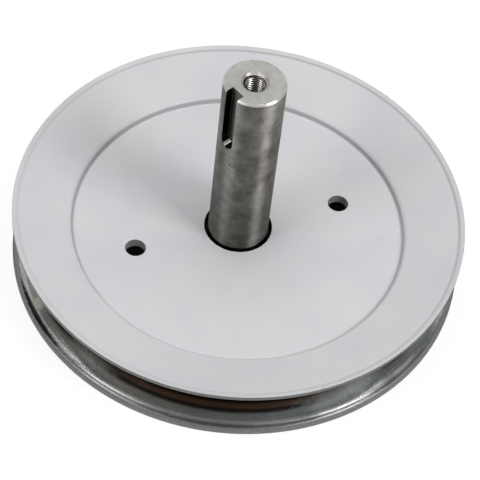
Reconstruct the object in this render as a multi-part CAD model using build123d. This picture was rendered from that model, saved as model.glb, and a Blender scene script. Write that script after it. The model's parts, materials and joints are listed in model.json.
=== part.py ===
from build123d import *
import math
import os

# Mower deck pulley: two pressed steel half sheaves, back to back, carried on a keyed drive shaft.
# Millimetres and degrees. The shaft runs along +Z, and the lower rim stands on the plane z = 0.

# Pressed half sheaves, the same section in both
rim_diameter = 190.5
sheet = 2.2
groove_angle = 37.0  # between the two flanks that the belt runs on
web_diameter = 139.4  # flat web, up to the foot of its step
step_rise = 2.65
step_slope = 62.5
lip_width = 2.3  # flared edge of the flange, measured along the radius
lip_slope = 26.0
bend_radius = 1.0  # inside the two bends of the step
rim_bevel = 0.3  # broken edge on both sides of the trimmed rim

# Through holes in the webs
web_hole_diameter = 8.8
web_hole_circle = 91.0
web_hole_count = 2
web_hole_turn = 68.0  # from +X to the first hole

# Shaft, with a spigot below its shoulder
shaft_diameter = 25.4
shaft_reach = 88.9  # from the upper web to the end face
shaft_chamfer = 0.8
spigot_diameter = 19.05
spigot_chamfer = 0.8

# Hub holes in the webs
hub_clearance = 0.8  # upper web, round the shaft
hub_bevel = 0.9  # upper web, on its outer edge
spigot_clearance = 0.05  # lower web, round the spigot

# Keyway, open at the end of the shaft, on its -Y side
key_width = 6.35
key_depth = 4.0  # from the top of the shaft's curve to the floor
key_length = 30.0  # from the end face to the tip of the rounded end

# Tapped hole in the end face, at the minor diameter of its thread
tap_diameter = 8.5
tap_depth = 30.0
countersink_diameter = 11.0
countersink_angle = 90.0
drill_point_angle = 118.0

# Fillet weld between the lower web and the spigot
weld_leg = 3.6
weld_crown = 0.4  # how far the bead's flat crown stands past a plain fillet
spigot_proud = 1.4  # spigot left showing past the weld

# Section of a half sheave, from the groove side of its web at height 0
rim_radius = rim_diameter / 2
step_foot = web_diameter / 2
step_top = step_foot + step_rise / math.tan(math.radians(step_slope))
crease_radius = rim_radius - lip_width
flank_slope = groove_angle / 2
crease_height = sheet + step_rise + (crease_radius - step_top) * math.tan(math.radians(flank_slope))
lip_pitch = math.tan(math.radians(lip_slope))  # rise of the lip for each millimetre of radius
rim_corner_height = crease_height + lip_width * lip_pitch
rim_bevel_drop = rim_bevel * math.sin(math.radians(lip_slope))

# Levels along the axis
joint_level = rim_corner_height - rim_bevel_drop  # where the two webs meet
upper_web_level = joint_level + sheet
lower_web_level = joint_level - sheet
shaft_end = upper_web_level + shaft_reach
spigot_end = lower_web_level - weld_leg - spigot_proud


def bend_flat(corner, slope_before, slope_after, radius):
    """The two ends of a bend's one flat, which lies against the arc of the bend at half its turn."""
    turn = math.radians(abs(slope_after - slope_before))
    setback = radius * (math.tan(turn / 2) - math.tan(turn / 4))
    before = math.radians(slope_before)
    after = math.radians(slope_after)
    start = (corner[0] - setback * math.cos(before), corner[1] - setback * math.sin(before))
    end = (corner[0] + setback * math.cos(after), corner[1] + setback * math.sin(after))
    return start, end


def pressed_half(bore_diameter):
    """A half sheave with its groove side down: web, step, flank and lip in one thickness of sheet."""
    trim_allowance = sheet
    with BuildPart() as half:
        with BuildSketch(Plane.XZ) as section:
            with BuildLine():
                Polyline(
                    (bore_diameter / 2, sheet),
                    *bend_flat((step_foot, sheet), 0, step_slope, bend_radius),
                    *bend_flat((step_top, sheet + step_rise), step_slope, flank_slope, bend_radius + sheet),
                    (crease_radius, crease_height),
                    (rim_radius + trim_allowance, rim_corner_height + trim_allowance * lip_pitch),
                )
                offset(amount=sheet, side=Side.RIGHT, kind=Kind.INTERSECTION)
            make_face()
            # The pressing is trimmed along the axis, so its edge is a short cylinder.
            Rectangle(rim_diameter, 4 * rim_corner_height, mode=Mode.INTERSECT)
            rim_corners = section.vertices().filter_by_position(Axis.X, rim_radius, rim_radius)
            chamfer(rim_corners, rim_bevel)
        revolve(axis=Axis.Z)
        with PolarLocations(web_hole_circle / 2, web_hole_count, start_angle=web_hole_turn):
            Hole(web_hole_diameter / 2)
    return half.part


def upper_sheave():
    """The half that the shaft passes through, with a bevel round its clearance hole."""
    bore_diameter = shaft_diameter + 2 * hub_clearance
    half = pressed_half(bore_diameter)
    outer_face_circles = half.edges().filter_by(GeomType.CIRCLE).filter_by_position(Axis.Z, sheet, sheet)
    bore_edge = outer_face_circles.filter_by(lambda edge: abs(edge.radius - bore_diameter / 2) < hub_bevel)
    return Pos(Z=joint_level) * chamfer(bore_edge, hub_bevel)


def lower_sheave():
    """The half that carries the shaft's spigot, the other way up."""
    half = pressed_half(spigot_diameter + 2 * spigot_clearance)
    return Pos(Z=joint_level) * mirror(half, about=Plane.XY)


def shaft():
    """Turned shaft whose shoulder sits on the lower web, drilled and slotted at its free end."""
    shaft_radius = shaft_diameter / 2
    spigot_radius = spigot_diameter / 2
    tap_radius = tap_diameter / 2
    sink_radius = countersink_diameter / 2
    sink_depth = (sink_radius - tap_radius) / math.tan(math.radians(countersink_angle / 2))
    point_depth = tap_radius / math.tan(math.radians(drill_point_angle / 2))
    key_floor = shaft_radius - key_depth
    key_round = key_width / 2
    with BuildPart() as turned:
        with BuildSketch(Plane.XZ):
            with BuildLine():
                Polyline(
                    (0, spigot_end),
                    (spigot_radius - spigot_chamfer, spigot_end),
                    (spigot_radius, spigot_end + spigot_chamfer),
                    (spigot_radius, joint_level),
                    (shaft_radius, joint_level),
                    (shaft_radius, shaft_end - shaft_chamfer),
                    (shaft_radius - shaft_chamfer, shaft_end),
                    (sink_radius, shaft_end),
                    (tap_radius, shaft_end - sink_depth),
                    (tap_radius, shaft_end - tap_depth),
                    (0, shaft_end - tap_depth - point_depth),
                    close=True,
                )
            make_face()
        revolve(axis=Axis.Z)
        # An end mill as wide as the key leaves the lower end of the slot half round.
        with BuildSketch(Plane.XZ.offset(key_floor)):
            with Locations((0, shaft_end - key_length + key_round)):
                Circle(key_round)
                Rectangle(key_width, key_length, align=(Align.CENTER, Align.MIN))
        extrude(amount=2 * key_depth, mode=Mode.SUBTRACT)
    return turned.part


def hub_weld():
    """Weld bead round the spigot, in the corner under the lower web."""
    spigot_radius = spigot_diameter / 2
    near = weld_leg / 3 + weld_crown / math.sqrt(2)
    far = weld_leg * 2 / 3 + weld_crown / math.sqrt(2)
    with BuildPart() as bead:
        with BuildSketch(Plane.XZ):
            with BuildLine():
                Polyline(
                    (spigot_radius, lower_web_level),
                    (spigot_radius + weld_leg, lower_web_level),
                    (spigot_radius + far, lower_web_level - near),
                    (spigot_radius + near, lower_web_level - far),
                    (spigot_radius, lower_web_level - weld_leg),
                    close=True,
                )
            make_face()
        revolve(axis=Axis.Z)
    return bead.part


os.makedirs("parts", exist_ok=True)
export_step(upper_sheave(), "parts/upper_sheave.step")
export_step(lower_sheave(), "parts/lower_sheave.step")
export_step(shaft(), "parts/shaft.step")
export_step(hub_weld(), "parts/hub_weld.step")
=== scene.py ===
# %% [markdown]
# # A mower deck pulley in bare and painted steel
# The pulley is two pressed half sheaves, back to back, on a keyed shaft. The solids come from the packed
# CAD model, in metres and in place, so Blender is only asked for what CAD leaves out: the finishes, the cut
# thread, the scales of the weld, the light and the camera.

# %% Load the frame
import json
import math
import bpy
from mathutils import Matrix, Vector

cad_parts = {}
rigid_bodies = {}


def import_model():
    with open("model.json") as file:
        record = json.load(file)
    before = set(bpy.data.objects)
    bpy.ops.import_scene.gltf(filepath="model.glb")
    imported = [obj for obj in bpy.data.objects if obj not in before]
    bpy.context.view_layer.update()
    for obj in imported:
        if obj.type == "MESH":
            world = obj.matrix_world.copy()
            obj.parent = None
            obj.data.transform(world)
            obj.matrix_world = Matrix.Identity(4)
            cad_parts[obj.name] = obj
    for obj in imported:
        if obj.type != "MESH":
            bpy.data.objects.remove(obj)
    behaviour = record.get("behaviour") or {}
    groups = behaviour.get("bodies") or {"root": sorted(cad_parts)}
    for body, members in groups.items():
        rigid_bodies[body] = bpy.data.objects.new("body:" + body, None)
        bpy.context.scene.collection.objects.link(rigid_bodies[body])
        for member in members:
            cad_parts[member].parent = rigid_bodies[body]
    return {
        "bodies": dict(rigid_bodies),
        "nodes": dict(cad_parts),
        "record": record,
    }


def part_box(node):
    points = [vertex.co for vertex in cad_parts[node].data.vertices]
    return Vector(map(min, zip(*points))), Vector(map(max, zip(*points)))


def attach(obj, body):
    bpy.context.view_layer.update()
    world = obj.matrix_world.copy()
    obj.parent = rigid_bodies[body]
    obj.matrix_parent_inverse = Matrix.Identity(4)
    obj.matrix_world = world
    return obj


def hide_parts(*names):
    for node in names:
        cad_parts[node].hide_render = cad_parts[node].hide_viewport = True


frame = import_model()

from types import SimpleNamespace

import bmesh
import bpy
from mathutils import Matrix, Quaternion, Vector

nodes = frame["nodes"]
kept = set(nodes.values()) | set(frame["bodies"].values())
for leftover in [thing for thing in bpy.data.objects if thing not in kept]:
    bpy.data.objects.remove(leftover)
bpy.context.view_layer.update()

# %% [markdown]
# ## Sizes that the finishes need
# Paint stops at the rim and at the hub, grinding marks run round the shaft, and the thread lies in its hole.
# A learner could type those places in again. They are read from the frame instead, so that the looks follow
# the CAD model when it changes. Sizes that the frame doesn't hold are written once, in millimetres.

# %% Measure the frame
MM = 0.001
mounts = {mount["name"]: mount for mount in frame["record"]["mounts"]}
rim_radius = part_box("upper_sheave")[1].x
rim_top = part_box("upper_sheave")[1].z
web_level = mounts["web_holes"]["pos_m"][2]
shaft_radius = mounts["shaft"]["dims"]["r_mm"] * MM
shaft_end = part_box("shaft")[1].z
key_floor = -mounts["keyway"]["pos_m"][1]
tap_radius = mounts["end_thread"]["dims"]["r_mm"] * MM
tap_length = mounts["end_thread"]["dims"]["length_mm"] * MM
tap_top = mounts["end_thread"]["pos_m"][2] + tap_length / 2
weld_low, weld_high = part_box("hub_weld")
print(f"rim {rim_radius / MM:.2f} mm, web at {web_level / MM:.2f} mm, shaft end at {shaft_end / MM:.2f} mm")

# %% [markdown]
# ## Two helpers for every material
# Colours are picked as sRGB hex values, the way a paint chart gives them, but a shader works in linear light,
# so one function converts them. The other adds a node with its settings and its links in one go, which keeps
# a material readable from top to bottom. Inputs go by name, or by number where a node has several of one
# name. In a Mix node, 0 is the share, 2 and 3 are the two numbers, 4 and 5 the vectors and 6 and 7 the
# colours that it mixes, and a mixed colour comes out of output 2.

# %% Colour and node helpers
def linear(hex_colour):
    """An sRGB hex colour as the linear RGBA that a shader socket holds."""
    channels = [int(hex_colour[i:i + 2], 16) / 255 for i in (1, 3, 5)]
    return [c / 12.92 if c <= 0.04045 else ((c + 0.055) / 1.055) ** 2.4 for c in channels] + [1.0]


def add(tree, kind, inputs=None, **settings):
    """Adds a node. An input is a plain value, a socket, or a node whose first output is meant."""
    made = tree.nodes.new(kind)
    for name, value in settings.items():
        setattr(made, name, value)
    for socket, value in (inputs or {}).items():
        if isinstance(value, bpy.types.Node):
            value = value.outputs[0]
        if isinstance(value, bpy.types.NodeSocket):
            tree.links.new(value, made.inputs[socket])
        else:
            made.inputs[socket].default_value = value
    return made


print("sample colour", [round(c, 3) for c in linear("#cccdcf")])

# %% [markdown]
# ## The camera
# The photograph looks down on the pulley from about 51 degrees with a long lens, and is tilted a little.
# The angles and the distance below come from fitting the rim, the holes and the shaft of the solids to the
# picture. The camera is built from three axes, because a target with an "up" constraint can't hold the tilt.

# %% Place the camera
camera_azimuth = math.radians(43.60)
camera_elevation = math.radians(51.18)
camera_tilt = math.radians(7.02)
camera_distance = 838.1 * MM
camera_target = Vector((6.50, -4.56, 15.3)) * MM
camera_data = bpy.data.cameras.new("photo_camera")
camera_data.sensor_width = 36.0
camera_data.lens = 149.0
camera = bpy.data.objects.new("photo_camera", camera_data)
bpy.context.scene.collection.objects.link(camera)
level_right = Vector((math.cos(camera_azimuth), math.sin(camera_azimuth), 0))
towards_camera = Vector((math.sin(camera_azimuth), -math.cos(camera_azimuth), 0))
back = towards_camera * math.cos(camera_elevation) + Vector((0, 0, math.sin(camera_elevation)))
level_up = back.cross(level_right)
right = level_right * math.cos(camera_tilt) + level_up * math.sin(camera_tilt)
up = level_up * math.cos(camera_tilt) - level_right * math.sin(camera_tilt)
position = camera_target + back * camera_distance
camera.matrix_world = Matrix.Translation(position) @ Matrix((right, up, back)).transposed().to_4x4()
bpy.context.scene.camera = camera
print("camera at", [round(v, 3) for v in position])

# %% [markdown]
# ## The floor
# A catalogue picture is taken on white. The floor is a plain pale sheet. Camera and mirror rays see it with a
# white glow added, which keeps the ground white without putting more light on the pulley, and the rest of it
# is a matt surface that takes the pulley's shadow. Under the pulley there is no glow, so its holes look into
# the dark. More lamps on a white floor would do it too, but they would bleach the paint.

# %% Pale floor
FLOOR_HALF = 3.0
floor_glow = 0.86


def seen_rays(tree):
    """A socket that is 1 for camera, mirror and glass rays, and 0 for the light that surfaces scatter."""
    path = add(tree, "ShaderNodeLightPath").outputs
    glass = path["Is Transmission Ray"]
    seen = add(
        tree, "ShaderNodeMath", {0: path["Is Camera Ray"], 1: path["Is Glossy Ray"]}, operation="MAXIMUM"
    )
    return add(tree, "ShaderNodeMath", {0: seen, 1: glass}, operation="MAXIMUM").outputs[0]


def empty_material(name):
    """A new material with nothing in it but its output."""
    material = bpy.data.materials.new(name)
    material.use_nodes = True
    material.node_tree.nodes.clear()
    return material, add(material.node_tree, "ShaderNodeOutputMaterial")


floor_material, floor_output = empty_material("pale_paper_floor")
tree = floor_material.node_tree
seen = seen_rays(tree)
floor_place = add(tree, "ShaderNodeTexCoord").outputs["Object"]
from_axis = add(tree, "ShaderNodeVectorMath", {0: floor_place}, operation="LENGTH").outputs["Value"]
open_floor = add(
    tree,
    "ShaderNodeMapRange",
    {"Value": from_axis, "From Min": rim_radius - 6 * MM, "From Max": rim_radius - 1 * MM},
)
glow_share = add(tree, "ShaderNodeMath", {0: seen, 1: open_floor}, operation="MULTIPLY")
glow_level = add(tree, "ShaderNodeMath", {0: glow_share, 1: floor_glow}, operation="MULTIPLY")
glow = add(tree, "ShaderNodeEmission", {"Strength": glow_level})
paper = add(tree, "ShaderNodeMix", {0: seen, 6: linear("#e6e6e6"), 7: linear("#7a7a7a")}, data_type="RGBA")
matt = add(tree, "ShaderNodeBsdfDiffuse", {"Color": paper.outputs[2]})
both = add(tree, "ShaderNodeAddShader", {0: matt, 1: glow})
tree.links.new(both.outputs[0], floor_output.inputs["Surface"])

floor_mesh = bpy.data.meshes.new("floor")
floor_corners = [(x * FLOOR_HALF, y * FLOOR_HALF, 0) for x, y in ((-1, -1), (1, -1), (1, 1), (-1, 1))]
floor_mesh.from_pydata(floor_corners, [], [(0, 1, 2, 3)])
floor_mesh.materials.append(floor_material)
floor = bpy.data.objects.new("floor", floor_mesh)
bpy.context.scene.collection.objects.link(floor)
print("floor at z = 0, glow", floor_glow)

# %% [markdown]
# ## The world
# The world is white where the camera sees it, a little less in mirrors, and gives a soft ambient light to
# the rest. High up and on the camera's side it is dark grey in mirrors, as a room behind a photographer is:
# bare steel looks like steel only when it has something darker to mirror.

# %% Studio world
ambient_level = 0.112
mirrored_level = 0.8
room_level = 0.19
world = bpy.data.worlds.new("studio")
bpy.context.scene.world = world
world.use_nodes = True
world.node_tree.nodes.clear()
tree = world.node_tree
direction = add(tree, "ShaderNodeTexCoord").outputs["Generated"]
height = add(tree, "ShaderNodeSeparateXYZ", {0: direction}).outputs["Z"]
forward = add(tree, "ShaderNodeVectorMath", {0: direction, 1: towards_camera}, operation="DOT_PRODUCT")
high = add(
    tree,
    "ShaderNodeMapRange",
    {"Value": height, "From Min": 0.55, "From Max": 0.74},
    interpolation_type="SMOOTHSTEP",
)
camera_side = add(
    tree,
    "ShaderNodeMapRange",
    {"Value": forward.outputs["Value"], "From Min": -0.6, "From Max": -0.2},
    interpolation_type="SMOOTHSTEP",
)
room = add(tree, "ShaderNodeMath", {0: high, 1: camera_side}, operation="MULTIPLY")
mirrored = add(tree, "ShaderNodeMix", {0: room, 2: mirrored_level, 3: room_level}, data_type="FLOAT")
level = add(tree, "ShaderNodeMix", {0: seen_rays(tree), 2: ambient_level, 3: mirrored}, data_type="FLOAT")
camera_ray = add(tree, "ShaderNodeLightPath").outputs["Is Camera Ray"]
level = add(tree, "ShaderNodeMath", {0: level, 1: camera_ray}, operation="MAXIMUM")
background = add(tree, "ShaderNodeBackground", {"Color": linear("#ffffff"), "Strength": level})
world_output = add(tree, "ShaderNodeOutputWorld")
tree.links.new(background.outputs[0], world_output.inputs["Surface"])
print("ambient level", ambient_level)

# %% [markdown]
# ## The lamps
# Most of the light comes from overhead, as it does under a light tent: level faces are bright and the upright
# wall of the step is dark. The shaft throws a soft shadow away from the camera to the left, and a weaker one
# to the right, so there is a softbox at each side, the right one stronger. The lip of the groove shows a thin
# bright line at both sides of the front. That takes two narrow strips, high up and rolled to lie along what
# the lip mirrors there, and a weak lamp behind carries the left line on. Each lamp is given the share of
# light that it adds on a level surface: with the ambient light they come to about 1, at which a matt colour
# renders as it is written.

# %% Softboxes
lamp_aim = Vector((0, 0, web_level))


def softbox(name, bearing, elevation, distance, width, depth, share, roll=0, mirrored=True):
    """A lamp at a bearing to the left of the camera, in degrees, that adds this share of plain light."""
    turn = math.radians(bearing)
    rise = math.radians(elevation)
    level_way = towards_camera * math.cos(turn) - level_right * math.sin(turn)
    way = level_way * math.cos(rise) + Vector((0, 0, math.sin(rise)))
    lamp_data = bpy.data.lights.new(name, "AREA")
    lamp_data.shape = "RECTANGLE"
    lamp_data.size = width
    lamp_data.size_y = depth
    lamp_data.energy = share * math.pi ** 2 * distance ** 2 / math.sin(rise)
    lamp = bpy.data.objects.new(name, lamp_data)
    lamp.location = lamp_aim + way * distance
    facing = way.to_track_quat("Z", "Y") @ Quaternion((0, 0, 1), math.radians(roll))
    lamp.rotation_euler = facing.to_euler()
    lamp.visible_camera = False
    lamp.visible_glossy = mirrored
    bpy.context.scene.collection.objects.link(lamp)
    print(f"{name}: {lamp_data.energy:.1f} W")


softbox("overhead_softbox", 180, 80, 1.3, 0.9, 0.9, 0.42, mirrored=False)
softbox("right_softbox", -62, 45, 1.2, 0.40, 0.36, 0.28)
softbox("left_softbox", 56, 47, 1.2, 0.42, 0.42, 0.16)
softbox("left_strip", 91, 71, 1.2, 0.10, 0.62, 0.055, roll=-30)
softbox("right_strip", -101, 65, 1.2, 0.09, 0.30, 0.030, roll=32)
softbox("rear_lamp", 129, 50, 1.2, 0.26, 0.26, 0.015)

# %% [markdown]
# ## Coordinates round the axis
# Everything on this part was turned, pressed or ground round one axis, so its marks run in rings. Noise that
# is fed with plain x, y and z would look like stone. These coordinates unroll the part: how far out, how far
# round and how far up. The way round is kept as a unit vector too, so that a pattern fed with it has no seam.

# %% Ring coordinates
def ring_coordinates(tree):
    """Sockets that say where the point being shaded lies about the axis, and how far up its face looks."""
    place = add(tree, "ShaderNodeTexCoord").outputs["Object"]
    axes = add(tree, "ShaderNodeSeparateXYZ", {0: place}).outputs
    flat = add(tree, "ShaderNodeVectorMath", {0: place, 1: (1, 1, 0)}, operation="MULTIPLY")
    normal = add(tree, "ShaderNodeNewGeometry").outputs["True Normal"]
    return SimpleNamespace(
        place=place,
        x=axes["X"],
        y=axes["Y"],
        height=axes["Z"],
        radius=add(tree, "ShaderNodeVectorMath", {0: flat}, operation="LENGTH").outputs["Value"],
        way=add(tree, "ShaderNodeVectorMath", {0: flat}, operation="NORMALIZE").outputs[0],
        bearing=add(tree, "ShaderNodeMath", {0: axes["Y"], 1: axes["X"]}, operation="ARCTAN2").outputs[0],
        facing=add(tree, "ShaderNodeSeparateXYZ", {0: normal}).outputs["Z"],
    )


def ring_noise(tree, at, along, round_reach, spacing):
    """Noise in rings: it changes over the spacing along the part, and slowly on the way round it."""
    round_part = add(tree, "ShaderNodeVectorMath", {0: at.way, "Scale": round_reach}, operation="SCALE")
    along_part = add(tree, "ShaderNodeCombineXYZ", {"Z": along})
    vector = add(tree, "ShaderNodeVectorMath", {0: round_part, 1: along_part}, operation="ADD")
    return add(tree, "ShaderNodeTexNoise", {"Vector": vector, "Scale": 1 / spacing, "Detail": 3.0})


print("ring coordinates ready")

# %% [markdown]
# ## Where the enamel lies
# The outer faces of both half sheaves were sprayed, and the groove was kept clear for the belt. Two meshes
# could carry the two finishes, but a painted edge wanders, so one shader holds both and a mask picks between
# them: by which way a face looks, and how far out it is. The walls of the web's holes got some paint, and the
# bevel round the hub lost it.

# %% Paint masks
step_top_radius = 71.1 * MM
hub_paint_edge = shaft_radius + 1.75 * MM
level_enough = 0.3  # a face looks outward where its normal has more than this along the axis


def paint_masks(tree, at, outer_side):
    """Masks for the enamel, for the holes' walls and for upright faces, and the noise that frays an edge."""
    outward = add(tree, "ShaderNodeMath", {0: at.facing, 1: outer_side}, operation="MULTIPLY")
    sprayed = add(tree, "ShaderNodeMath", {0: outward, 1: level_enough}, operation="GREATER_THAN")
    upright = add(tree, "ShaderNodeMath", {0: outward, 1: 0.0, 2: level_enough}, operation="COMPARE")
    in_web = add(tree, "ShaderNodeMath", {0: at.radius, 1: step_top_radius}, operation="LESS_THAN")
    hole_wall = add(tree, "ShaderNodeMath", {0: upright, 1: in_web}, operation="MULTIPLY")
    ragged = add(tree, "ShaderNodeTexNoise", {"Vector": at.place, "Scale": 1 / (1.6 * MM), "Detail": 3.0})
    hub_edge = add(
        tree,
        "ShaderNodeMath",
        {0: ragged, 1: 0.45 * MM, 2: hub_paint_edge - 0.22 * MM},
        operation="MULTIPLY_ADD",
    )
    clear_of_hub = add(tree, "ShaderNodeMath", {0: at.radius, 1: hub_edge}, operation="GREATER_THAN")
    painted = add(tree, "ShaderNodeMath", {0: sprayed, 1: hole_wall}, operation="MAXIMUM")
    paint = add(tree, "ShaderNodeMath", {0: painted, 1: clear_of_hub}, operation="MULTIPLY")
    return SimpleNamespace(paint=paint, outward=outward, upright=upright, hole_wall=hole_wall, ragged=ragged)


print(f"paint starts {hub_paint_edge / MM:.2f} mm from the axis")

# %% [markdown]
# ## Silver-grey enamel
# A matt enamel hides the metal and scatters light evenly. The eye takes it for paint by its small faults: a
# faint cloud from the spray passes, a few specks of dust half a millimetre wide and two nicks on the edge. A
# darker line in the crease of the rim, stronger on one side, is painted shade, and so is a darker grey on the
# steep wall of the step and in the holes.

# %% Enamel
crease_radius = rim_radius - 2.3 * MM
# The darker line in the crease is painted shade, stronger on the side that this way points to.
crease_shade_way = (0.087, 0.996, 0.0)
nick_angles = (95.7, 39.1)


def crease_shade_share(tree, at):
    """How dark the painted shade in the crease is, stronger on one side."""
    off_crease = add(tree, "ShaderNodeMath", {0: at.radius, 1: crease_radius}, operation="SUBTRACT")
    off_crease = add(tree, "ShaderNodeMath", {0: off_crease}, operation="ABSOLUTE")
    line = add(
        tree,
        "ShaderNodeMapRange",
        {"Value": off_crease, "From Min": 0.1 * MM, "From Max": 0.75 * MM, "To Min": 1.0, "To Max": 0.0},
    )
    run = add(tree, "ShaderNodeVectorMath", {0: at.way, 1: crease_shade_way}, operation="DOT_PRODUCT")
    strength = add(
        tree,
        "ShaderNodeMapRange",
        {"Value": run.outputs["Value"], "From Min": -0.6, "From Max": 0.9, "To Min": 0.16, "To Max": 0.48},
    )
    return add(tree, "ShaderNodeMath", {0: line, 1: strength}, operation="MULTIPLY")


def enamel_colour(tree, at, masks):
    """The socket of the enamel's colour."""
    cloud = add(tree, "ShaderNodeTexNoise", {"Vector": at.place, "Scale": 1 / (30 * MM), "Detail": 3.0})
    cloud = add(tree, "ShaderNodeMapRange", {"Value": cloud, "From Min": 0.35, "From Max": 0.65})
    enamel = add(
        tree, "ShaderNodeMix", {0: cloud, 6: linear("#cacbce"), 7: linear("#d0d1d3")}, data_type="RGBA"
    )
    dust = add(tree, "ShaderNodeTexVoronoi", {"Vector": at.place, "Scale": 1 / (9 * MM)}).outputs["Distance"]
    marks = add(
        tree,
        "ShaderNodeMapRange",
        {"Value": dust, "From Min": 0.025, "From Max": 0.05, "To Min": 0.35, "To Max": 0.0},
    )
    marks = add(tree, "ShaderNodeMath", {0: marks, 1: crease_shade_share(tree, at)}, operation="MAXIMUM")
    for nick_angle in nick_angles:
        turn = math.radians(nick_angle)
        nick = (math.cos(turn) * rim_radius, math.sin(turn) * rim_radius, rim_top)
        reach = add(tree, "ShaderNodeVectorMath", {0: at.place, 1: nick}, operation="DISTANCE")
        reach = reach.outputs["Value"]
        share = add(
            tree,
            "ShaderNodeMapRange",
            {"Value": reach, "From Min": 0.25 * MM, "From Max": 0.7 * MM, "To Min": 0.7, "To Max": 0.0},
        )
        marks = add(tree, "ShaderNodeMath", {0: marks, 1: share}, operation="MAXIMUM")
    # Painted shade: a darker grey on the steep wall of the step and on the walls of the holes.
    steep = add(
        tree,
        "ShaderNodeMapRange",
        {"Value": masks.outward, "From Min": 0.5, "From Max": 0.75, "To Min": 0.8, "To Max": 0.0},
    )
    wall = add(tree, "ShaderNodeMath", {0: at.radius, 1: step_top_radius, 2: 2 * MM}, operation="COMPARE")
    painted_wall_shade = add(tree, "ShaderNodeMath", {0: steep, 1: wall}, operation="MULTIPLY")
    painted_wall_shade = add(tree, "ShaderNodeMath", {0: painted_wall_shade, 1: masks.hole_wall}, operation="MAXIMUM")
    # Dust, nicks and the crease's painted shade take the dark grey; the walls' painted shade takes the
    # lighter one.
    for share, tone in ((marks, "#77787a"), (painted_wall_shade, "#a2a3a5")):
        enamel = add(
            tree, "ShaderNodeMix", {0: share, 6: enamel.outputs[2], 7: linear(tone)}, data_type="RGBA"
        )
    return enamel.outputs[2]


print("crease line at", round(crease_radius / MM, 2), "mm")

# %% [markdown]
# ## Spots in the groove
# Bare sheet in a belt groove is never one tone. Oil lies along the lower flank, two lighter stretches of it
# are painted reflection, two patches are rubbed bare, and a dark line runs along the lip. One darker stretch
# of the lip is painted shade. One stretch of the lip is duller, by wear or only by what it reflects: one
# photograph can't tell. Each could be painted in by hand on a texture. Here each is an ellipse on the
# unrolled flank with a frayed, soft edge, so it stays sharp at any size and needs no image.

# %% Groove spots
# Angle from +X, radius, half length and half width in mm, softness of the edge, and colour.
groove_spots = (
    (-9.0, 87.5, 24.0, 5.0, 1.1, "#c8caca"),  # painted reflection: this and the next are lighter stretches of the flank
    (-84.0, 88.6, 16.0, 4.0, 1.1, "#a9abaa"),
    (19.0, 92.3, 15.0, 1.8, 0.9, "#6f7375"),  # painted shade: a darker stretch of the lip
    (-106.2, 90.2, 3.3, 2.4, 0.4, "#aeaaa2"),  # rubbed bare
    (-117.0, 91.9, 4.0, 0.8, 0.4, "#aeaaa2"),
    (-103.5, 93.3, 19.0, 0.95, 0.4, "#0e0d0b"),  # a dark line along the lip
)
spot_fray = 0.8
spot_reach = 1.55
spot_strength = 0.9


def spot_layers(tree, at, ragged, spots):
    """Each spot as a mask and its colour."""
    layers = []
    for angle, radius, half_length, half_width, softness, tone in spots:
        turn = add(tree, "ShaderNodeMath", {0: at.bearing, 1: math.radians(angle)}, operation="SUBTRACT")
        out = add(tree, "ShaderNodeMath", {0: at.radius, 1: radius * MM}, operation="SUBTRACT")
        offset = add(tree, "ShaderNodeCombineXYZ", {"X": turn, "Y": out})
        shrink = (radius / half_length, 1 / (half_width * MM), 1)
        offset = add(tree, "ShaderNodeVectorMath", {0: offset, 1: shrink}, operation="MULTIPLY")
        reach = add(tree, "ShaderNodeVectorMath", {0: offset}, operation="LENGTH").outputs["Value"]
        reach = add(tree, "ShaderNodeMath", {0: ragged, 1: spot_fray, 2: reach}, operation="MULTIPLY_ADD")
        share = add(
            tree,
            "ShaderNodeMapRange",
            {
                "Value": reach,
                "From Min": spot_reach - softness,
                "From Max": spot_reach,
                "To Min": spot_strength,
                "To Max": 0.0,
            },
        )
        layers.append((share, tone))
    return layers


print(len(groove_spots), "spots in the groove")

# %% [markdown]
# ## What lies on the bare sheet
# The rolled sheet is mid grey. From the rim inward there are a sheared edge, a lip, a ridge that is polished
# because everything rubs on it, and a dark zone deep in the groove, partly dirt and press oil and partly
# painted shade, with a brown band in it that is strongest on one side. Next to the shaft, the bevel round the
# hub is black with painted shade. Each is a mask that depends on the radius, and a colour, and they are laid
# over each other in turn as coats of paint would be.

# %% Layers on the bare sheet
ridge_radius = rim_radius - 3.0 * MM
brown_band_radius = 85.6 * MM
oiled_way = (-0.342, -0.940, 0.0)
brown_band_way = (0.695, -0.719, 0.0)


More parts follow.
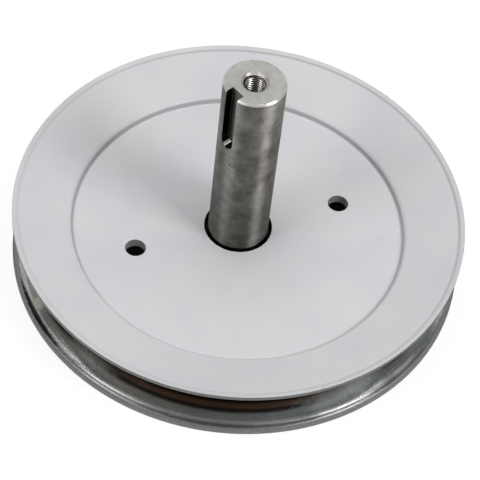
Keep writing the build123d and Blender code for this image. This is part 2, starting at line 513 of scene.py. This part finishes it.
def groove_layers(tree, at, from_ridge):
    """The oil film, dirt and painted shade deep in the groove, a brown band, the polished ridge and the lip,
    each a mask and its colour.
    """
    oiled = add(tree, "ShaderNodeVectorMath", {0: at.way, 1: oiled_way}, operation="DOT_PRODUCT")
    oil_film = add(
        tree,
        "ShaderNodeMapRange",
        {"Value": oiled.outputs["Value"], "From Min": 0.2, "From Max": 0.9, "To Min": 0.0, "To Max": 0.6},
    )
    deep = add(
        tree,
        "ShaderNodeMapRange",
        {"Value": at.radius, "From Min": 87.6 * MM, "From Max": 89.0 * MM, "To Min": 1.0, "To Max": 0.0},
        interpolation_type="SMOOTHSTEP",
    )
    further_in = add(
        tree,
        "ShaderNodeMapRange",
        {"Value": at.radius, "From Min": 81.0 * MM, "From Max": 83.5 * MM, "To Min": 0.4, "To Max": 1.0},
    )
    dirt_and_shade = add(tree, "ShaderNodeMath", {0: deep, 1: further_in}, operation="MULTIPLY")
    off_brown_band = add(tree, "ShaderNodeMath", {0: at.radius, 1: brown_band_radius}, operation="SUBTRACT")
    off_brown_band = add(tree, "ShaderNodeMath", {0: off_brown_band}, operation="ABSOLUTE")
    brown_band = add(
        tree,
        "ShaderNodeMapRange",
        {"Value": off_brown_band, "From Min": 0.4 * MM, "From Max": 1.6 * MM, "To Min": 1.0, "To Max": 0.0},
        interpolation_type="SMOOTHSTEP",
    )
    low = add(tree, "ShaderNodeVectorMath", {0: at.way, 1: brown_band_way}, operation="DOT_PRODUCT")
    band_side = add(
        tree,
        "ShaderNodeMapRange",
        {"Value": low.outputs["Value"], "From Min": 0.8, "From Max": 0.97, "To Min": 0.25, "To Max": 1.0},
    )
    brown_band = add(tree, "ShaderNodeMath", {0: brown_band, 1: band_side}, operation="MULTIPLY")
    off_ridge = add(tree, "ShaderNodeMath", {0: from_ridge}, operation="ABSOLUTE")
    polished = add(
        tree,
        "ShaderNodeMapRange",
        {"Value": off_ridge, "From Min": 0.3 * MM, "From Max": 1.1 * MM, "To Min": 1.0, "To Max": 0.0},
        interpolation_type="SMOOTHSTEP",
    )
    on_lip = add(
        tree, "ShaderNodeMapRange", {"Value": from_ridge, "From Min": 0.5 * MM, "From Max": 1.0 * MM}
    )
    # Dark grey for the dirt and painted shade deep in the groove, brown for the band in it.
    tones = ("#837f74", "#39332e", "#7a675a", "#bcbdbc", "#828383")
    return list(zip((oil_film, dirt_and_shade, brown_band, polished, on_lip), tones))


def hub_layers(tree, at):
    """The bevel round the hub: black painted shade next to the shaft, bare steel further out."""
    at_hub = add(tree, "ShaderNodeMath", {0: at.radius, 1: 20 * MM}, operation="LESS_THAN")
    off_bore = add(
        tree,
        "ShaderNodeMapRange",
        {"Value": at.radius, "From Min": shaft_radius + 1.0 * MM, "From Max": shaft_radius + 1.4 * MM},
    )
    bevel = add(tree, "ShaderNodeMath", {0: at_hub, 1: off_bore}, operation="MULTIPLY")
    # Black painted shade in the gap next to the shaft, bare steel on the bevel further out.
    return [(at_hub, "#1d1c1a"), (bevel, "#a39f9a")]


def sheared_mask(tree, at, upright):
    """The cut edge of the sheet and the rim that the shears rolled over."""
    at_rim = add(tree, "ShaderNodeMath", {0: at.radius, 1: rim_radius - 0.5 * MM}, operation="GREATER_THAN")
    cut_face = add(tree, "ShaderNodeMath", {0: upright, 1: at_rim}, operation="MULTIPLY")
    rolled = add(
        tree,
        "ShaderNodeMapRange",
        {"Value": at.radius, "From Min": rim_radius - 1.2 * MM, "From Max": rim_radius - 0.6 * MM},
    )
    return add(tree, "ShaderNodeMath", {0: cut_face, 1: rolled}, operation="MAXIMUM")


print("ridge at", round(ridge_radius / MM, 2), "mm")

# %% [markdown]
# ## Edges and relief of the sheet
# A pressing has no sharp edge: the top bend of the step is wide and round, and the others are only broken.
# Real roundings would cost many faces all the way round, so a Bevel node turns the normal there instead. The
# enamel has the soft lumps of orange peel, and the bare sheet its drawing marks. The lip starts to fall away
# at a soft ridge a little inside the crease of the solid, by less than the thickness of a thumbnail, which is
# small enough for a bump that is given its true height.

# %% Normal of the sheet
lip_fall = 0.133  # height that the lip loses for each metre of radius
lip_width = 1.2 * MM
lip_softness = 0.7 * MM


def sheet_normal(tree, at, paint, metal, marks, from_ridge):
    """The bump node that gives the sheet its normal."""
    over_bend = add(
        tree,
        "ShaderNodeMapRange",
        {
            "Value": at.radius,
            "From Min": step_top_radius - 0.9 * MM,
            "From Max": step_top_radius - 0.2 * MM,
            "To Min": 0.25 * MM,
            "To Max": 1.3 * MM,
        },
    )
    past_bend = add(
        tree, "ShaderNodeMath", {0: at.radius, 1: step_top_radius + 3 * MM}, operation="GREATER_THAN"
    )
    rim_edge = add(tree, "ShaderNodeMix", {0: paint, 2: 0.25 * MM, 3: 0.3 * MM}, data_type="FLOAT")
    rounding = add(tree, "ShaderNodeMix", {0: past_bend, 2: over_bend, 3: rim_edge}, data_type="FLOAT")
    edge = add(tree, "ShaderNodeBevel", {"Radius": rounding}, samples=8)
    peel = add(tree, "ShaderNodeTexNoise", {"Vector": at.place, "Scale": 1 / (1.3 * MM), "Detail": 1.0})
    relief = add(tree, "ShaderNodeMix", {0: paint, 2: marks, 3: peel}, data_type="FLOAT")
    fine = add(
        tree,
        "ShaderNodeBump",
        {"Strength": 0.35, "Distance": 0.02 * MM, "Height": relief, "Normal": edge},
    )
    run = add(tree, "ShaderNodeMath", {0: from_ridge, 1: 0.0, 2: lip_softness}, operation="SMOOTH_MAX")
    run = add(tree, "ShaderNodeMath", {0: run, 1: lip_width, 2: lip_softness}, operation="SMOOTH_MIN")
    drop = add(tree, "ShaderNodeMath", {0: run, 1: -lip_fall}, operation="MULTIPLY")
    drop = add(tree, "ShaderNodeMath", {0: drop, 1: metal}, operation="MULTIPLY")
    return add(tree, "ShaderNodeBump", {"Strength": 1.0, "Distance": 1.0, "Height": drop, "Normal": fine})


print("lip falls", round(lip_fall * lip_width / MM, 2), "mm")

# %% [markdown]
# ## The pressed sheet
# Both halves are deep-drawn low carbon sheet. Bare, it is a metal with a soft gloss and with marks in rings,
# which spread its highlights a little across the rings; sheared, it is rough and scatters. Enamelled, it is
# no metal at all to the eye. Base colour, metallic and roughness therefore all follow the paint mask.

# %% Enamelled pressed steel
sheared_roughness = 0.75
enamel_roughness = 0.46


def pressed_sheet(name, outer_side, sheared_colour, spots):
    """Enamel on the faces that look to the outer side (1 up, -1 down), bare rolled steel on the rest."""
    material, output = empty_material(name)
    tree = material.node_tree
    at = ring_coordinates(tree)
    masks = paint_masks(tree, at, outer_side)
    paint = masks.paint
    metal = add(tree, "ShaderNodeMath", {0: 1.0, 1: paint}, operation="SUBTRACT")
    from_ridge = add(tree, "ShaderNodeMath", {0: at.radius, 1: ridge_radius}, operation="SUBTRACT")

    # Rings about 0.6 mm apart, drawn coarser than real drawing marks so that they show.
    rings = ring_noise(tree, at, at.radius, 4 * MM, 0.6 * MM)
    grain = add(tree, "ShaderNodeTexNoise", {"Vector": at.place, "Scale": 1 / (0.7 * MM), "Detail": 4.0})
    marks = add(tree, "ShaderNodeMath", {0: rings, 1: grain}, operation="ADD")
    sheared = sheared_mask(tree, at, masks.upright)
    steel = add(
        tree, "ShaderNodeMix", {0: rings, 6: linear("#7b7e80"), 7: linear("#999c9d")}, data_type="RGBA"
    )
    layers = groove_layers(tree, at, from_ridge) + spot_layers(tree, at, masks.ragged, spots)
    layers += hub_layers(tree, at) + [(sheared, sheared_colour)]
    for share, tone in layers:
        steel = add(tree, "ShaderNodeMix", {0: share, 6: steel.outputs[2], 7: linear(tone)}, data_type="RGBA")
    steel = add(
        tree,
        "ShaderNodeMix",
        {0: 0.5, 6: steel.outputs[2], 7: grain},
        data_type="RGBA",
        blend_type="SOFT_LIGHT",
    )
    enamel = enamel_colour(tree, at, masks)
    colour = add(tree, "ShaderNodeMix", {0: paint, 6: steel.outputs[2], 7: enamel}, data_type="RGBA")

    stain = add(tree, "ShaderNodeTexNoise", {"Vector": at.place, "Scale": 1 / (14 * MM), "Detail": 4.0})
    rough = add(
        tree,
        "ShaderNodeMapRange",
        {"Value": stain, "From Min": 0.3, "From Max": 0.7, "To Min": 0.18, "To Max": 0.30},
    )
    rough = add(tree, "ShaderNodeMix", {0: sheared, 2: rough, 3: sheared_roughness}, data_type="FLOAT")
    rough = add(tree, "ShaderNodeMix", {0: paint, 2: rough, 3: enamel_roughness}, data_type="FLOAT")
    surface = add(
        tree,
        "ShaderNodeBsdfPrincipled",
        {
            "Base Color": colour.outputs[2],
            "Metallic": metal,
            "Roughness": rough,
            "Anisotropic": 0.2,
            "Anisotropic Rotation": 0.25,
            "Tangent": add(tree, "ShaderNodeTangent", direction_type="RADIAL", axis="Z"),
            "Normal": sheet_normal(tree, at, paint, metal, marks, from_ridge),
        },
    )
    tree.links.new(surface.outputs[0], output.inputs["Surface"])
    return material


upper_finish = pressed_sheet("enamelled_pressed_steel_upper", 1, "#848483", ())
lower_finish = pressed_sheet("enamelled_pressed_steel_lower", -1, "#888989", groove_spots)
nodes["upper_sheave"].material_slots[0].material = upper_finish
nodes["lower_sheave"].material_slots[0].material = lower_finish
print("finished the two half sheaves")

# %% [markdown]
# ## Scratches on the shaft
# A shaft that has been through a workshop has a few scratches. Each is a thin light ellipse on the unrolled
# bar, at an angle round it and a height, with a length and a slant. Real ones are a tenth as wide, and are
# drawn at 0.3 mm so that they show.

# %% Scratches
# Angle from +X, height and length in mm, slant in degrees, strength.
scratches = ((-79, 64.8, 8.5, -23, 0.8), (-56, 56.6, 6.6, -39, 0.5), (-70, 60.5, 4.0, -30, 0.4))
scratch_half_width = 0.3 * MM


def scratch_share(tree, at):
    """How much of a scratch lies at the point."""
    marks = 0.0
    for angle, level, length, slant, strength in scratches:
        across = add(tree, "ShaderNodeMath", {0: at.bearing, 1: math.radians(angle)}, operation="SUBTRACT")
        rise = add(tree, "ShaderNodeMath", {0: at.height, 1: level * MM}, operation="SUBTRACT")
        flat = add(tree, "ShaderNodeCombineXYZ", {"X": across, "Y": rise})
        flat = add(tree, "ShaderNodeVectorMath", {0: flat, 1: (shaft_radius, 1, 1)}, operation="MULTIPLY")
        turned = add(
            tree,
            "ShaderNodeVectorRotate",
            {0: flat, "Angle": -math.radians(slant)},
            rotation_type="Z_AXIS",
        )
        shrink = (2 / (length * MM), 1 / scratch_half_width, 1)
        shrunk = add(tree, "ShaderNodeVectorMath", {0: turned, 1: shrink}, operation="MULTIPLY")
        reach = add(tree, "ShaderNodeVectorMath", {0: shrunk}, operation="LENGTH").outputs["Value"]
        line = add(
            tree,
            "ShaderNodeMapRange",
            {"Value": reach, "From Min": 0.0, "From Max": 1.0, "To Min": strength, "To Max": 0.0},
        )
        marks = add(tree, "ShaderNodeMath", {0: marks, 1: line}, operation="MAXIMUM")
    return marks


print(len(scratches), "scratches")

# %% [markdown]
# ## Places on the shaft that were not ground
# The keyway was milled: its walls are black with painted shade, its floor is grey, and on its round end a
# bright band and a thin line are painted highlights. The countersink was cut bright. The tapped hole and the
# foot of the shaft, down in the gap at the hub, are dark with painted shade. Each place is a mask from its
# coordinates.

# %% Keyway, countersink and gap
key_round_level = 77.4 * MM
# Where the painted highlight band lies on the keyway's round end.
key_highlight_centre = -1.5 * MM
key_highlight_half = 0.65 * MM
sink_radius = 5.6 * MM


def key_layers(tree, at, not_faced):
    """The keyway: painted shade on its walls, its grey floor, and a painted highlight band and line on its
    round end.
    """
    key_side = add(tree, "ShaderNodeMath", {0: at.y, 1: 0.05 * MM - key_floor}, operation="LESS_THAN")
    inside = add(
        tree,
        "ShaderNodeMapRange",
        {
            "Value": at.radius,
            "From Min": shaft_radius - 0.4 * MM,
            "From Max": shaft_radius - 0.1 * MM,
            "To Min": 1.0,
            "To Max": 0.0,
        },
    )
    slot = add(tree, "ShaderNodeMath", {0: key_side, 1: inside}, operation="MULTIPLY")
    slot = add(tree, "ShaderNodeMath", {0: slot, 1: not_faced}, operation="MULTIPLY")
    at_floor = add(tree, "ShaderNodeMath", {0: at.y, 1: -key_floor, 2: 0.1 * MM}, operation="COMPARE")
    slot_floor = add(tree, "ShaderNodeMath", {0: slot, 1: at_floor}, operation="MULTIPLY")
    walls = add(tree, "ShaderNodeMath", {0: slot, 1: slot_floor}, operation="SUBTRACT")
    below = add(tree, "ShaderNodeMath", {0: at.height, 1: key_round_level}, operation="LESS_THAN")
    round_end = add(tree, "ShaderNodeMath", {0: walls, 1: below}, operation="MULTIPLY")
    highlight_band = add(tree, "ShaderNodeMath", {0: at.x, 1: key_highlight_centre, 2: key_highlight_half}, operation="COMPARE")
    end_highlight = add(tree, "ShaderNodeMath", {0: round_end, 1: highlight_band}, operation="MULTIPLY")
    line = add(tree, "ShaderNodeMath", {0: at.height, 1: key_round_level, 2: 0.22 * MM}, operation="COMPARE")
    highlight_line = add(tree, "ShaderNodeMath", {0: line, 1: walls}, operation="MULTIPLY")
    # Painted shade on the walls, grey on the floor, and two painted highlights on the round end.
    return [(slot, "#171613"), (slot_floor, "#6f6d69"), (end_highlight, "#f0eee9"), (highlight_line, "#a3a19c")]


def end_layers(tree, at, sink):
    """The countersink, and painted shade in the tapped hole and in the gap at the hub."""
    hole_shade = add(tree, "ShaderNodeMath", {0: at.radius, 1: tap_radius + 0.1 * MM}, operation="LESS_THAN")
    gap_top = web_level + 0.4 * MM
    gap_shade = add(
        tree,
        "ShaderNodeMapRange",
        {"Value": at.height, "From Min": web_level, "From Max": gap_top, "To Min": 1.0, "To Max": 0.0},
    )
    # The countersink's bright metal, and black painted shade in the tapped hole and at the foot of the shaft.
    return [(sink, "#c6c3bb"), (hole_shade, "#1d1c1a"), (gap_shade, "#0c0b0a")]


print(f"keyway floor {key_floor / MM:.2f} mm from the axis")

# %% [markdown]
# ## The shaft: turned and ground steel bar
# The bar is plain carbon steel, ground round. That leaves fine rings and a dull dark grey, mottled where it
# was handled, and the colour is darker towards the bottom and lighter towards the top. The rings spread a
# reflection up and down, so a lamp shows as a streak along the bar: that is the anisotropic setting, turned
# to run across the rings. Its end was faced on a lathe and then rubbed flat, so it is brighter and its marks
# run one way. A photograph of steel mapped on the shaft would be quick, but it would not follow the keyway
# and the chamfer.

# %% Ground steel
rub_way = (0.69, -0.72, 0.0)
faced_roughness = 0.34
sink_roughness = 0.48


def ground_steel(name):
    """Dull ground steel with rings, mottling and scratches, brighter on the faced end."""
    material, output = empty_material(name)
    tree = material.node_tree
    at = ring_coordinates(tree)
    looks_up = add(tree, "ShaderNodeMath", {0: at.facing, 1: 0.5}, operation="GREATER_THAN")
    at_end = add(tree, "ShaderNodeMath", {0: at.height, 1: shaft_end - 1.4 * MM}, operation="GREATER_THAN")
    faced = add(tree, "ShaderNodeMath", {0: looks_up, 1: at_end}, operation="MULTIPLY")
    not_faced = add(tree, "ShaderNodeMath", {0: 1.0, 1: faced}, operation="SUBTRACT")
    in_sink = add(tree, "ShaderNodeMath", {0: at.radius, 1: sink_radius}, operation="LESS_THAN")
    sink = add(tree, "ShaderNodeMath", {0: in_sink, 1: faced}, operation="MULTIPLY")

    # Rings half a millimetre apart: real grit marks are ten times finer and would not show.
    along = add(tree, "ShaderNodeMath", {0: at.radius, 1: at.height}, operation="ADD")
    rings = ring_noise(tree, at, along, 2 * MM, 0.5 * MM)
    mottle = add(
        tree,
        "ShaderNodeTexNoise",
        {"Vector": at.place, "Scale": 1 / (8 * MM), "Detail": 7.0, "Roughness": 0.66},
    )
    share = add(tree, "ShaderNodeMapRange", {"Value": mottle, "From Min": 0.34, "From Max": 0.66})
    dull = add(
        tree, "ShaderNodeMix", {0: share, 6: linear("#62605c"), 7: linear("#8e8c88")}, data_type="RGBA"
    )
    # Darker towards the bottom of the bar, lighter towards the top.
    height_tone = add(
        tree,
        "ShaderNodeMapRange",
        {"Value": at.height, "From Min": web_level, "From Max": shaft_end, "To Min": 0.74, "To Max": 1.3},
    )
    dull = add(tree, "ShaderNodeVectorMath", {0: dull.outputs[2], "Scale": height_tone}, operation="SCALE")
    bright = add(
        tree, "ShaderNodeMix", {0: share, 6: linear("#bbb9b3"), 7: linear("#d9d8d4")}, data_type="RGBA"
    )
    colour = add(tree, "ShaderNodeMix", {0: faced, 6: dull, 7: bright.outputs[2]}, data_type="RGBA")
    layers = [(scratch_share(tree, at), "#c9c7c2")]
    layers += key_layers(tree, at, not_faced) + end_layers(tree, at, sink)
    for share, tone in layers:
        colour = add(
            tree, "ShaderNodeMix", {0: share, 6: colour.outputs[2], 7: linear(tone)}, data_type="RGBA"
        )
    colour = add(
        tree,
        "ShaderNodeMix",
        {0: 0.08, 6: colour.outputs[2], 7: rings},
        data_type="RGBA",
        blend_type="SOFT_LIGHT",
    )

    rough = add(
        tree,
        "ShaderNodeMapRange",
        {"Value": mottle, "From Min": 0.3, "From Max": 0.7, "To Min": 0.56, "To Max": 0.64},
    )
    rough = add(tree, "ShaderNodeMix", {0: faced, 2: rough, 3: faced_roughness}, data_type="FLOAT")
    rough = add(tree, "ShaderNodeMix", {0: sink, 2: rough, 3: sink_roughness}, data_type="FLOAT")
    edge = add(tree, "ShaderNodeBevel", {"Radius": 0.25 * MM}, samples=8)
    bump = add(
        tree,
        "ShaderNodeBump",
        {"Strength": 0.12, "Distance": 0.01 * MM, "Height": rings, "Normal": edge},
    )
    round_way = add(tree, "ShaderNodeTangent", direction_type="RADIAL", axis="Z")
    tangent = add(tree, "ShaderNodeMix", {0: faced, 4: round_way, 5: rub_way}, data_type="VECTOR")
    surface = add(
        tree,
        "ShaderNodeBsdfPrincipled",
        {
            "Base Color": colour.outputs[2],
            "Metallic": 1.0,
            "Roughness": rough,
            "Anisotropic": 1.0,
            "Anisotropic Rotation": 0.25,
            "Tangent": tangent.outputs[1],
            "Normal": bump,
        },
    )
    tree.links.new(surface.outputs[0], output.inputs["Surface"])
    return material


nodes["shaft"].material_slots[0].material = ground_steel("ground_carbon_steel_bar")
print("finished the shaft")

# %% [markdown]
# ## The thread in the end of the shaft
# The CAD hole is plain, at the size that a tap drill leaves. The thread is a ridge wound round its wall. A
# bump map would give the light and dark lines from one side only, so the ridge is a mesh: four points of its
# section are carried down a right-hand helix. It starts in the countersink, where it follows the 45 degree
# cone outward, as a thread does that was countersunk before it was tapped.

# %% Wind the thread
thread_pitch = 1.058 * MM
thread_depth = 0.42 * MM
wall_overlap = 0.05 * MM
thread_root = tap_radius + wall_overlap
thread_start = tap_top + 0.5 * thread_pitch
thread_turns = 20
steps_per_turn = 48
run_out_turns = 0.5
section_rises = [share * thread_pitch for share in (0.44, 0.08, -0.08, -0.44)]

thread_mesh = bmesh.new()
section_before = None
for step in range(thread_turns * steps_per_turn + 1):
    turns = step / steps_per_turn
    angle = -2 * math.pi * turns
    level = thread_start - thread_pitch * turns
    fullness = min(1.0, turns / run_out_turns)
    crest = thread_root - (thread_depth + wall_overlap) * fullness
    section = []
    for section_radius, rise in zip((thread_root, crest, crest, thread_root), section_rises):
        z = level + rise
        r = section_radius + max(0.0, z - tap_top)
        section.append(thread_mesh.verts.new((r * math.cos(angle), r * math.sin(angle), z)))
    if section_before:
        for i in range(len(section)):
            j = (i + 1) % len(section)
            thread_mesh.faces.new((section_before[i], section_before[j], section[j], section[i]))
    else:
        thread_mesh.faces.new(section)
    section_before = section
thread_mesh.faces.new(list(reversed(section_before)))
bmesh.ops.recalc_face_normals(thread_mesh, faces=thread_mesh.faces)
thread_data = bpy.data.meshes.new("end_thread")
thread_mesh.to_mesh(thread_data)
thread_mesh.free()
print("thread faces", len(thread_data.polygons))

# %% [markdown]
# ## Steel that a tap has cut
# A tap leaves the crests of a thread bright and torn. Light alone would not part crests and roots so clearly
# in a hole this small, so the colour follows the depth: bright metal at the crests, black painted shade at
# the roots, with the chatter of the tap as a fine noise between two greys.

# %% Tapped thread steel
def cut_thread(name):
    """Bright on the crests of the thread, with black painted shade in its roots."""
    material, output = empty_material(name)
    tree = material.node_tree
    at = ring_coordinates(tree)
    depth = add(
        tree,
        "ShaderNodeMapRange",
        {"Value": at.radius, "From Min": thread_root - 0.43 * MM, "From Max": thread_root - 0.25 * MM},
    )
    chatter = add(tree, "ShaderNodeTexNoise", {"Vector": at.place, "Scale": 1 / (0.4 * MM), "Detail": 2.0})
    steel = add(
        tree, "ShaderNodeMix", {0: chatter, 6: linear("#b9b7b1"), 7: linear("#d6d4cf")}, data_type="RGBA"
    )
    # Black painted shade towards the roots of the thread.
    steel = add(
        tree, "ShaderNodeMix", {0: depth, 6: steel.outputs[2], 7: linear("#0b0a09")}, data_type="RGBA"
    )
    surface = add(
        tree,
        "ShaderNodeBsdfPrincipled",
        {"Base Color": steel.outputs[2], "Metallic": 1.0, "Roughness": 0.28},
    )
    tree.links.new(surface.outputs[0], output.inputs["Surface"])
    return material


thread_data.materials.append(cut_thread("tapped_thread_steel"))
end_thread = bpy.data.objects.new("end_thread", thread_data)
bpy.context.scene.collection.objects.link(end_thread)
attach(end_thread, "root")
print("thread runs down to", round((thread_start - thread_turns * thread_pitch) / MM, 2), "mm")

# %% [markdown]
# ## The weld under the pulley
# A bead run by hand freezes in overlapping scales. The CAD ring gives its size, and here the same ring gets
# its scales as geometry: each point of its round section is pushed in and out by a saw-like wave that leans
# the way the torch went. A last point in the corner of web and spigot closes the section.

# %% Run the bead
spigot_radius = 9.525 * MM
scale_count = 30
scale_depth = 0.22 * MM
scale_lean = 0.64  # how far a scale's middle runs ahead of its ends, in scales
bead_crown = 0.4 * MM
steps_round = 360
steps_across = 12
weld_leg = weld_high.z - weld_low.z

bead = bmesh.new()
rows = []
for i in range(steps_round):
    angle = 2 * math.pi * i / steps_round
    section = []
    for j in range(steps_across + 1):
        across = j / steps_across
        hump = math.sin(math.pi * across)
        wave = (scale_count * (i / steps_round) + scale_lean * hump) % 1.0
        swell = (bead_crown - scale_depth * wave ** 2) * hump / math.sqrt(2)
        r = spigot_radius + weld_leg * (1 - across) + swell
        z = weld_high.z - weld_leg * across - swell
        section.append((r, z))
    section.append((spigot_radius, weld_high.z))
    rows.append([bead.verts.new((r * math.cos(angle), r * math.sin(angle), z)) for r, z in section])
for i in range(steps_round):
    row, following = rows[i], rows[(i + 1) % steps_round]
    for j in range(len(row)):
        k = (j + 1) % len(row)
        bead.faces.new((row[j], row[k], following[k], following[j]))
bmesh.ops.recalc_face_normals(bead, faces=bead.faces)
bead_data = bpy.data.meshes.new("weld_bead")
bead.to_mesh(bead_data)
bead.free()
bead_data.shade_smooth()
print("weld faces", len(bead_data.polygons))

# %% [markdown]
# ## Weld metal
# A bead cools under a thin skin of oxide: grey, with straw tints that follow no pattern. The tint is a slow
# noise mixed over bare metal, and fine pits break up its gloss.

# %% Weld steel
def weld_steel(name):
    """Bright weld metal with patches of oxide tint."""
    material, output = empty_material(name)
    tree = material.node_tree
    at = ring_coordinates(tree)
    oxide = add(tree, "ShaderNodeTexNoise", {"Vector": at.place, "Scale": 1 / (6 * MM), "Detail": 3.0})
    oxide = add(tree, "ShaderNodeMapRange", {"Value": oxide, "From Min": 0.4, "From Max": 0.65})
    colour = add(
        tree, "ShaderNodeMix", {0: oxide, 6: linear("#8f8d8a"), 7: linear("#6d6152")}, data_type="RGBA"
    )
    pits = add(tree, "ShaderNodeTexNoise", {"Vector": at.place, "Scale": 1 / (0.8 * MM), "Detail": 3.0})
    bump = add(tree, "ShaderNodeBump", {"Strength": 0.4, "Distance": 0.05 * MM, "Height": pits})
    surface = add(
        tree,
        "ShaderNodeBsdfPrincipled",
        {"Base Color": colour.outputs[2], "Metallic": 1.0, "Roughness": 0.36, "Normal": bump},
    )
    tree.links.new(surface.outputs[0], output.inputs["Surface"])
    return material


bead_data.materials.append(weld_steel("as_welded_steel"))
weld_bead = bpy.data.objects.new("weld_bead", bead_data)
bpy.context.scene.collection.objects.link(weld_bead)
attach(weld_bead, "root")
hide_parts("hub_weld")
print("weld leg", round(weld_leg / MM, 2), "mm")

# %% [markdown]
# The plain view keeps colours as they are written.

# %% Finish
bpy.context.scene.view_settings.view_transform = "Standard"
